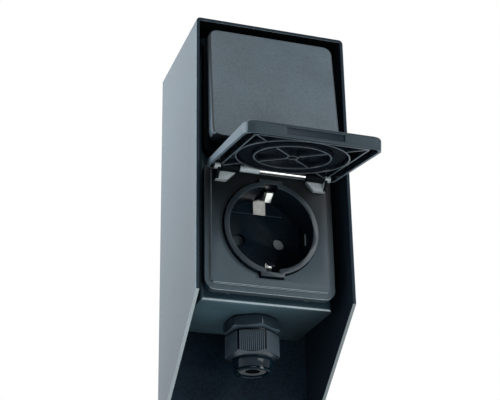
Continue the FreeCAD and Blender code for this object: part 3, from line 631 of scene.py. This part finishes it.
# the wells: the collar's front, painted highlights on its rounded edge and on the guide ribs' ends, and
# the side walls
well = {"collar": -55.3, "collarEdge": -55.4, "ribEnd": (-47.0, -45.0), "wall": (-54.0, -38.2),
        "flat": 0.9, "edge": (-0.95, -0.3), "upright": 0.1}
for node in ("upper_insert", "lower_insert"):
    finishFaces(pieces[node], "collarFace", lambda face: place(face).y < well["collar"])
    finishFaces(pieces[node], "ribPlastic", lambda face:
                place(face).y < well["collarEdge"]
                and well["edge"][0] < face.normal.y < well["edge"][1])
    finishFaces(pieces[node], "shinyEdge", lambda face: face.normal.y < -well["flat"]
                and well["ribEnd"][0] < place(face).y < well["ribEnd"][1])
    finishFaces(pieces[node], "wellWall", lambda face: abs(face.normal.y) < well["upright"]
                and well["wall"][0] < place(face).y < well["wall"][1])

# the clips: a crease before the bend, a painted sheen on the upper clip's pad, painted shade on both
# necks, and painted shade on all of the lower clip but a short stretch, which shines
lowFrom, lowTo = clip["lowShine"]
for node in ("upper_earth_bracket", "lower_earth_bracket"):
    for out in (clip["roofTo"], clip["neckTo"], lowFrom, lowTo, clip["crease"]):
        cutBy(pieces[node], (0, -out, 0), (0, 1, 0), fill=False)
    middle = centreOf(node).z / mm
    finishFaces(pieces[node], "innerCoat", lambda face:
                -clip["neckTo"] < place(face).y < -clip["roofTo"])
    finishFaces(pieces[node], "satinClip", lambda face: place(face).z > middle
                and -clip["roofTo"] < place(face).y < -clip["padFrom"])
    finishFaces(pieces[node], "innerCoat", lambda face: place(face).z < middle
                and not -lowTo < place(face).y < -lowFrom)

for node in ("upper_shutter", "lower_shutter"):  # less light reaches the left hole
    cutBy(pieces[node], (0, 0, 0), (1, 0, 0), fill=False)
    finishFaces(pieces[node], "shutterShade", lambda face: place(face).x < 0)
print("pieces made")


# hinged lids, modelled closed with the hinge axis on the origin, all sizes in mm
# ribBlank is a rib's reach before it is trimmed, wallShare how far under the outer face it ends

lid = {"halfWidth": 30.2, "over": 4.4, "reach": 53.4, "rim": -0.5, "thin": 3.0, "thick": 5.2,
       "wall": 1.3, "corner": 4.5, "cornerSteps": 10, "edge": 1.3, "edgeSteps": 5,
       "innerRound": 0.2, "shellSharp": 40, "partSharp": 50, "cavityOpen": 4.0,
       "rib": 0.8, "ribFoot": -0.2, "ribBlank": 8.0, "ribRound": 0.15, "ribTop": -3.6,
       "square": 25.2, "outerRing": 24.6, "innerRing": 16.9, "hub": 3.0, "ringSides": 96,
       "hubSides": 6, "wallShare": 0.7,
       "gripHalf": 12.6, "gripFrom": 0.7, "gripTo": 3.7, "gripDepth": 0.7, "gripInset": 1.0,
       "knuckle": 1.8, "knuckleFrom": 15.6, "knuckleTo": 24.4, "knuckleSides": 48,
       "lowerAngle": 80.0, "upperAngle": 3.0, "hingeOut": 58.2, "hingeRise": 25.4}
lidZone = {  # where the other finishes lie: mm from the free edge or the middle, and slopes
    "edge": 1.2, "edgeSlope": 0.6, "shade": 1.6, "shadeSlope": 0.35, "grip": (0.3, 0.9),
    "rim": 29.0, "rimSlope": 0.4, "rimFront": 0.3, "foot": 0.16, "footSlope": 0.6, "near": 0.05,
    "free": 0.4, "freeSlope": 0.99, "frontSlope": 0.9}


def lidOuter(z):  # how far out the lid's outer face lies at a height below the hinge axis
    return lid["thin"] + (lid["thick"] - lid["thin"]) * -z / lid["reach"]


def addBlock(name, low, high):
    size = [b - a for a, b in zip(low, high)]
    centre = [(a + b) / 2 * mm for a, b in zip(low, high)]
    bpy.ops.object.select_all(action="DESELECT")
    bpy.ops.mesh.primitive_cube_add(size=mm, location=centre, scale=size)
    obj = startPiece(name)
    settle(obj)
    return obj


def addTube(name, radius, depth, centre, axis, sides, caps="NGON"):
    turn = {"X": (0, math.pi / 2, 0), "Y": (math.pi / 2, 0, 0), "Z": (0, 0, 0)}[axis]
    bpy.ops.object.select_all(action="DESELECT")
    bpy.ops.mesh.primitive_cylinder_add(vertices=sides, radius=radius * mm, depth=depth * mm,
                                        location=[p * mm for p in centre], rotation=turn,
                                        end_fill_type=caps)
    obj = startPiece(name)
    settle(obj)
    return obj


def joinInto(obj, others):
    onlySelect(obj)
    for other in others:
        other.select_set(True)
    bpy.ops.object.join()


lidSlope = Vector((0, -lid["reach"], lid["thick"] - lid["thin"])).normalized()  # outer normal


def trimToLid(part):  # the part ends within the thickness of the lid's front wall
    inWall = Vector((0, -lid["thin"], 0)) - lidSlope * lid["wall"] * lid["wallShare"]
    cutBy(part, inWall, lidSlope, outer=True)


def lidRibs():
    ribs = []
    centre = -lid["hingeRise"]
    half, rib, blank = lid["square"], lid["rib"], lid["ribBlank"]
    for radius, sides in ((lid["outerRing"], lid["ringSides"]), (lid["innerRing"], lid["ringSides"]),
                          (lid["hub"], lid["hubSides"])):
        ring = addTube("ring", radius, 2 * blank, (0, 0, centre), "Y", sides, "NOTHING")
        applyModifier(ring, "SOLIDIFY", thickness=rib * mm, offset=-1)
        ribs.append(ring)
    for side in (-1, 1):
        x0, x1 = sorted((side * half, side * (half - rib)))
        ribs.append(addBlock("bar", (x0, -blank, centre - half), (x1, blank, lid["ribTop"])))
    ribs.append(addBlock("bar", (-half, -blank, centre - half), (half, blank, centre - half + rib)))
    for turn in (45, 135, 225, 315):
        for near, far in ((lid["hub"] - rib / 2, lid["innerRing"] - rib / 2),
                          (lid["outerRing"] - rib / 2, half * math.sqrt(2) - rib)):
            spoke = addBlock("spoke", (near, -blank, -rib / 2), (far, blank, rib / 2))
            spoke.rotation_euler = (0, math.radians(turn), 0)
            spoke.location = (0, 0, centre * mm)
            settle(spoke)
            ribs.append(spoke)
    for part in ribs:
        trimToLid(part)
        cutBy(part, (0, -lid["ribFoot"], 0), (0, 1, 0), outer=True)
        roundEdges(part, lid["ribRound"] * mm, 2, lid["partSharp"])
    return ribs


def wedgeBlock(name, inset, back):
    # the lid's solid form, moved in by a wall thickness, open towards the socket
    half, reach, over = lid["halfWidth"] - inset, lid["reach"] - inset, lid["over"] - inset
    block = addBlock(name, (-half, -lidOuter(-reach) + inset, -reach), (half, back, over))
    editEdges(block, lambda edge: all(v.co.y < 0 and v.co.z > 0 for v in edge.verts))
    bpy.ops.transform.translate(value=(0, (lidOuter(-reach) - lidOuter(over)) * mm, 0))
    objectMode()
    editEdges(block, lambda edge: abs(edge.verts[0].co.x - edge.verts[1].co.x) < tiny
              and abs(edge.verts[0].co.z - edge.verts[1].co.z) < tiny)
    bpy.ops.mesh.bevel(offset=(lid["corner"] - inset) * mm, segments=lid["cornerSteps"])
    objectMode()
    return block


def freeEdge(face):  # the flat face that a finger lifts the lid by
    return (face.normal.z < -lidZone["freeSlope"]
            and place(face).z < -(lid["reach"] - lidZone["free"]))


def pressGrip(shell):  # the grip recess in the free edge
    half, near, far = lid["gripHalf"], lid["gripFrom"], lid["gripTo"]
    for point, normal in (((-half, 0, 0), (1, 0, 0)), ((half, 0, 0), (1, 0, 0)),
                          ((0, -near, 0), (0, 1, 0)), ((0, -far, 0), (0, 1, 0))):
        editFaces(shell, freeEdge)
        bpy.ops.mesh.bisect(plane_co=[p * mm for p in point], plane_no=normal)
        objectMode()
    editFaces(shell, lambda face: freeEdge(face) and abs(place(face).x) < half - lid["gripInset"]
              and near < -place(face).y < far)
    bpy.ops.mesh.extrude_region_move(TRANSFORM_OT_translate={"value": (0, 0, lid["gripDepth"] * mm)})
    objectMode()


def lidKnuckles():
    middle = (lid["knuckleFrom"] + lid["knuckleTo"]) / 2
    right = addTube("knuckle", lid["knuckle"], lid["knuckleTo"] - lid["knuckleFrom"],
                    (middle, 0, 0), "X", lid["knuckleSides"])
    trimToLid(right)
    roundEdges(right, lid["innerRound"] * mm, 2, lid["partSharp"])
    left = copyPiece(right, "knuckle")
    left.location = (-2 * middle * mm, 0, 0)
    settle(left)
    return [left, right]


def makeLid(name):
    shell = wedgeBlock(name, 0, -lid["rim"])
    front = max((face for face in shell.data.polygons if face.normal.y < -lidZone["frontSlope"]),
                key=lambda face: face.area).index
    editFaces(shell, lambda face: face.index == front)
    bpy.ops.mesh.region_to_loop()
    bpy.ops.mesh.select_mode(type="EDGE")
    bpy.ops.mesh.bevel(offset=lid["edge"] * mm, segments=lid["edgeSteps"])
    objectMode()
    cavity = wedgeBlock("cavity", lid["wall"], lid["cavityOpen"])
    coat(shell, "lidPlastic")
    # the lid's inside in painted shade
    coat(cavity, "lidInside")
    applyModifier(shell, "BOOLEAN", operation="DIFFERENCE", object=cavity, solver="EXACT",
                  material_mode="TRANSFER")
    bpy.data.objects.remove(cavity)
    pressGrip(shell)
    applyModifier(shell, "BEVEL", width=lid["innerRound"] * mm, segments=2, limit_method="ANGLE",
                  angle_limit=math.radians(lid["shellSharp"]), material=-1)
    knuckles = lidKnuckles()
    ribs = lidRibs()
    # the ribs and the knuckles in painted shade
    for part in ribs + knuckles:
        coat(part, "lidInside" if part in ribs else "shadowPlastic")
    joinInto(shell, ribs + knuckles)
    # painted highlights on the rib feet, painted shade on the free edge, the grip recess and the rounded
    # side edges
    finishFaces(shell, "ribPlastic", lambda face: face.normal.y > lidZone["footSlope"]
                and abs(place(face).y + lid["ribFoot"]) < lidZone["foot"])
    finishFaces(shell, "lidEdge", lambda face: face.normal.z < -lidZone["edgeSlope"]
                and place(face).z < -(lid["reach"] - lidZone["edge"]))
    finishFaces(shell, "lidGrip", lambda face:
                abs(place(face).x) < lid["gripHalf"] + lidZone["near"]
                and lidZone["grip"][0] < place(face).z + lid["reach"] < lidZone["grip"][1])
    finishFaces(shell, "lidRim", lambda face: abs(face.normal.x) > lidZone["rimSlope"]
                and face.normal.y < -lidZone["rimFront"] and abs(place(face).x) > lidZone["rim"])
    smooth(shell)
    return shell


def hangLid(obj, node, angle, socketZ):
    obj.rotation_euler = (math.radians(-angle), 0, 0)
    obj.location = (0, -lid["hingeOut"] * mm, socketZ + lid["hingeRise"] * mm)
    settle(obj)
    standFor(obj, node)


lowerLid = makeLid("lowerLidShell")
upperLid = copyPiece(lowerLid, "upperLidShell")
finishFaces(upperLid, "lidShade", lambda face: face.normal.z < -lidZone["shadeSlope"]
            and place(face).z < -(lid["reach"] - lidZone["shade"]))
hangLid(lowerLid, "lower_lid", lid["lowerAngle"], centreOf("lower_insert").z)
hangLid(upperLid, "upper_lid", lid["upperAngle"], centreOf("upper_insert").z)
print("lids made")


# cable gland, its heights measured down from the shelf in mm

gland = {"out": 25.75, "shelf": -41.3, "neck": 9.2, "sink": 0.2,
         "turned": 1.4, "turnedTop": 0.1, "proud": 0.2, "cornerSteps": 3,
         "round": 0.12, "sharp": 25, "turnedSides": 96, "neckSides": 64, "ridgeSides": 10,
         "sealBore": 4.0, "sealWall": 0.7, "chamferSlope": 0.35, "baseSlope": (-0.95, -0.25)}
capNut = {"flats": 21.2, "from": 6.7, "to": 18.2, "turn": 18.7, "corner": 0.6, "rim": 0.7,
          "bore": 8.6, "chamfer": 2.4,
          "ridges": 13, "ridge": 0.21, "ridgeFrom": 7.4, "ridgeTo": 16.9, "ridgeSpread": 0.93}
hexBase = {"flats": 22.3, "from": 0.6, "to": 5.9, "turn": 27.0, "corner": 0.3, "rim": 0.8,
           "bore": 6.6, "chamfer": 1.1}
# the cap's dome and end ring: radius, and how far below the cap's flats
capEnd = ((8.6, -0.2), (8.6, 0.1), (9.2, 0.3), (9.5, 0.8), (9.45, 1.3), (9.15, 2.1), (8.85, 2.8),
          (8.5, 3.5), (8.15, 4.2), (7.9, 4.55), (7.9, 4.75), (8.3, 4.95), (8.45, 5.3), (8.4, 5.8),
          (8.1, 6.1), (7.3, 6.1), (6.8, 5.8), (6.7, 5.4), (6.7, 3.5))
sixth = math.pi / 3


def lathe(name, profile, steps):
    # one vertex pushed along the profile (radius, height in mm), then spun round the gland's axis
    y = -gland["out"] * mm
    bpy.ops.object.select_all(action="DESELECT")
    bpy.ops.mesh.primitive_plane_add(size=0.1 * mm,
                                     location=(profile[0][0] * mm, y, profile[0][1] * mm))
    obj = startPiece(name)
    settle(obj)
    editFaces(obj, lambda face: True)
    bpy.ops.mesh.merge(type="CENTER")
    bpy.ops.mesh.select_mode(type="VERT")
    bpy.ops.mesh.select_all(action="SELECT")
    for (r0, h0), (r1, h1) in zip(profile, profile[1:]):
        bpy.ops.mesh.extrude_region_move(
            TRANSFORM_OT_translate={"value": ((r1 - r0) * mm, 0, (h1 - h0) * mm)})
    bpy.ops.mesh.select_all(action="SELECT")
    bpy.ops.mesh.spin(steps=steps, angle=2 * math.pi, center=(0, y, 0), axis=(0, 0, 1))
    bpy.ops.mesh.select_all(action="SELECT")
    bpy.ops.mesh.remove_doubles(threshold=turnedGap * mm)
    bpy.ops.mesh.normals_make_consistent(inside=False)
    objectMode()
    return obj


def hexBlock(name, part):
    # six-sided block with its corners rounded and turned off at both ends, bored through
    flat, bore = part["flats"] / 2, part["bore"]
    low, top = gland["shelf"] - part["to"], gland["shelf"] - part["from"]
    radius = flat / math.cos(sixth / 2)
    bpy.ops.object.select_all(action="DESELECT")
    bpy.ops.mesh.primitive_cylinder_add(
        vertices=6, radius=radius * mm, depth=(top - low) * mm,
        location=(0, -gland["out"] * mm, (low + top) / 2 * mm),
        rotation=(0, 0, sixth / 2 - math.radians(part["turn"])))
    obj = startPiece(name)
    settle(obj)
    editEdges(obj, lambda edge: abs(edge.verts[0].co.z - edge.verts[1].co.z) > mm)
    bpy.ops.mesh.bevel(offset=part["corner"] * mm, segments=gland["cornerSteps"])
    objectMode()
    wide = radius + gland["proud"]
    turned = lathe("turned", [(bore, top), (flat - gland["turnedTop"], top),
                              (wide, top - part["rim"]), (wide, low + part["chamfer"]),
                              (flat - gland["turned"], low), (bore, low), (bore, top)],
                   gland["turnedSides"])
    applyModifier(obj, "BOOLEAN", operation="INTERSECT", object=turned, solver="EXACT")
    bpy.data.objects.remove(turned)
    roundEdges(obj, gland["round"] * mm, 2, gland["sharp"])
    return obj


def capRidges():  # fine upright flutes on the cap's six flats
    ridges = []
    length = capNut["ridgeTo"] - capNut["ridgeFrom"]
    height = gland["shelf"] - (capNut["ridgeFrom"] + capNut["ridgeTo"]) / 2
    fluted = capNut["flats"] * math.tan(sixth / 2) * capNut["ridgeSpread"]
    first = addTube("ridge", capNut["ridge"], length, (0, 0, 0), "Z", gland["ridgeSides"])
    for side in range(6):
        direction = sixth * side - math.pi / 2 - math.radians(capNut["turn"])
        outward = Vector((math.cos(direction), math.sin(direction), 0))
        along = Vector((-outward.y, outward.x, 0))
        for i in range(capNut["ridges"]):
            share = (i + 0.5) / capNut["ridges"] - 0.5
            spot = (Vector((0, -gland["out"], height)) + outward * capNut["flats"] / 2
                    + along * share * fluted)
            ridge = copyPiece(first, "ridge")
            ridge.location = spot * mm
            settle(ridge)
            ridges.append(ridge)
    bpy.data.objects.remove(first)
    return ridges


def makeCap():
    low = gland["shelf"] - capNut["to"]
    cap = hexBlock("glandCap", capNut)
    end = lathe("capEnd", [(radius, low - below) for radius, below in capEnd], gland["turnedSides"])
    ridges = capRidges()
    # painted shade on the cap's flats between the flutes, painted highlights on the flutes
    for part, finish in [(cap, "capFlat"), (end, "capDome")] + [(one, "capRidge") for one in ridges]:
        coat(part, finish)
    joinInto(cap, [end] + ridges)
    finishFaces(cap, "glandNylon", lambda face: face.normal.z < -gland["chamferSlope"]
                and place(face).z > low)
    smooth(cap, 35)
    return cap


def makeGlandBase():
    base = hexBlock("glandBase", hexBase)
    neckTop = gland["shelf"] - hexBase["to"] + gland["sink"]
    neckLow = gland["shelf"] - capNut["from"] - gland["sink"]
    neck = lathe("neck", [(gland["neck"], neckTop), (gland["neck"], neckLow)], gland["neckSides"])
    joinInto(base, [neck])
    smooth(base)
    return base


glandCap = makeCap()
standFor(glandCap, "gland_cap_nut")
glandBase = makeGlandBase()
coat(glandBase, "glandNylon")
standFor(glandBase, "gland_body")
# a painted highlight along the base's lower chamfer
finishFaces(glandBase, "capRidge", lambda face:
            gland["baseSlope"][0] < face.normal.z < gland["baseSlope"][1])
finishFaces(pieces["gland_seal"], "deepShade", lambda face:
            abs(face.normal.z) < gland["sealWall"]
            and math.hypot(place(face).x, place(face).y + gland["out"]) < gland["sealBore"])
print("gland made")


# fine seams on the well floors

seam = {"out": 38.1, "rise": 0.25, "sink": 0.1, "tall": 0.35, "up": 13.0,
        "spans": ((-13.5, -3.4), (3.4, 11.0))}
for node in ("upper_insert", "lower_insert"):
    low = centreOf(node).z / mm + seam["up"]
    bars = [addBlock("wellSeam", (x0, -seam["out"] - seam["rise"], low),
                     (x1, -seam["out"] + seam["sink"], low + seam["tall"]))
            for x0, x1 in seam["spans"]]
    line = bars[0]
    joinInto(line, bars[1:])
    line.name = line.data.name = node.split("_")[0] + "WellSeam"
    # a painted highlight along each seam
    coat(line, "lidEdge")
    moveWith(line, node)
print("seams made")


# floor, lights and camera, in metres

ground = {"height": -0.36, "size": 8,
          "look": {"colour": (0.80, 0.80, 0.79), "roughness": 0.6, "roughSpread": 0.1,
                   "grain": 4 * mm, "cloud": 600 * mm, "mottle": 0.02, "depth": 0.1 * mm,
                   "strength": 0.1}}
bpy.ops.object.select_all(action="DESELECT")
bpy.ops.mesh.primitive_plane_add(size=ground["size"], location=(0, 0, ground["height"]))
floor = startPiece("floor")
settle(floor)
floor.data.materials.append(grainy("paleFloor", ground["look"]))
floor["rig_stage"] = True

lampsAim = Vector((0, -0.03, 0))
lamps = {
    "keyLeft": {"place": (-1.4, 0.25, 0.25), "size": (1.0, 1.4), "power": 28,
                "colour": (0.86, 0.97, 1.06)},
    "frontRight": {"place": (1.0, -1.2, 0.45), "size": (0.6, 0.6), "power": 16,
                   "colour": (0.94, 0.98, 1.0)},
    "lowWindow": {"place": (0.24, -0.46, -0.25), "size": (0.28, 0.12), "power": 0.65,
                  "colour": (0.94, 0.99, 1.0)},
    "topFront": {"place": (-0.2, -1.2, 1.0), "size": (0.8, 0.6), "power": 9,
                 "colour": (0.94, 0.98, 1.0)},
}
for name, lamp in lamps.items():
    data = bpy.data.lights.new(name, "AREA")
    data.shape = "RECTANGLE"
    data.size, data.size_y = lamp["size"]
    data.energy = lamp["power"]
    data.color = lamp["colour"]
    light = bpy.data.objects.new(name, data)
    bpy.context.scene.collection.objects.link(light)
    light.location = lamp["place"]
    light.rotation_euler = (lampsAim - Vector(lamp["place"])).to_track_quat("-Z", "Y").to_euler()

# the room is bright behind the object and dark behind the camera, and the camera itself sees white
room = {"bright": (1.35, 1.50, 1.62, 1), "dark": (0.03, 0.033, 0.036, 1), "fade": 0.35}
world = bpy.data.worlds.new("studio")
bpy.context.scene.world = world
world.use_nodes = True
tree = world.node_tree
tree.nodes.clear()
sky = Wire(tree)
way = sky.node("ShaderNodeTexCoord")
towardsBack = sky.node("ShaderNodeSeparateXYZ", {}, {0: way}, out=1)
behindCamera = (towardsBack * -1).step(-room["fade"], room["fade"])
roomColour = behindCamera.blend(room["bright"], room["dark"])
roomLight = sky.node("ShaderNodeBackground", {}, {"Color": roomColour, "Strength": 1.0})
white = sky.node("ShaderNodeBackground", {}, {"Color": (1, 1, 1, 1), "Strength": 1.0})
seen = sky.node("ShaderNodeLightPath")
both = sky.node("ShaderNodeMixShader", {}, {0: seen, 1: roomLight, 2: white})
sky.node("ShaderNodeOutputWorld", {}, {"Surface": both})

view = {"place": (-0.17146, -0.52958, -0.22019), "yaw": 18.8125, "pitch": 24.118, "roll": -0.9748,
        "focal": 1250.508, "sensor": 36, "imageWidth": 500, "near": 0.01}  # focal in pixels
data = bpy.data.cameras.new("photoCamera")
data.sensor_width = view["sensor"]
data.lens = view["focal"] / view["imageWidth"] * view["sensor"]
data.clip_start = view["near"]
camera = bpy.data.objects.new("photoCamera", data)
bpy.context.scene.collection.objects.link(camera)
yaw, pitch, roll = (math.radians(view[key]) for key in ("yaw", "pitch", "roll"))
forward = Vector((math.sin(yaw) * math.cos(pitch), math.cos(yaw) * math.cos(pitch), math.sin(pitch)))
right = Vector((math.cos(yaw), -math.sin(yaw), 0))
up = right.cross(forward)
turnedRight = right * math.cos(roll) + up * math.sin(roll)
turnedUp = up * math.cos(roll) - right * math.sin(roll)
turn = Matrix((turnedRight, turnedUp, -forward)).transposed().to_4x4()
camera.matrix_world = Matrix.Translation(view["place"]) @ turn
bpy.context.scene.camera = camera
bpy.context.scene.view_settings.view_transform = "Standard"
bpy.context.scene.view_settings.look = "None"
print("camera and lights set")

low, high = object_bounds()
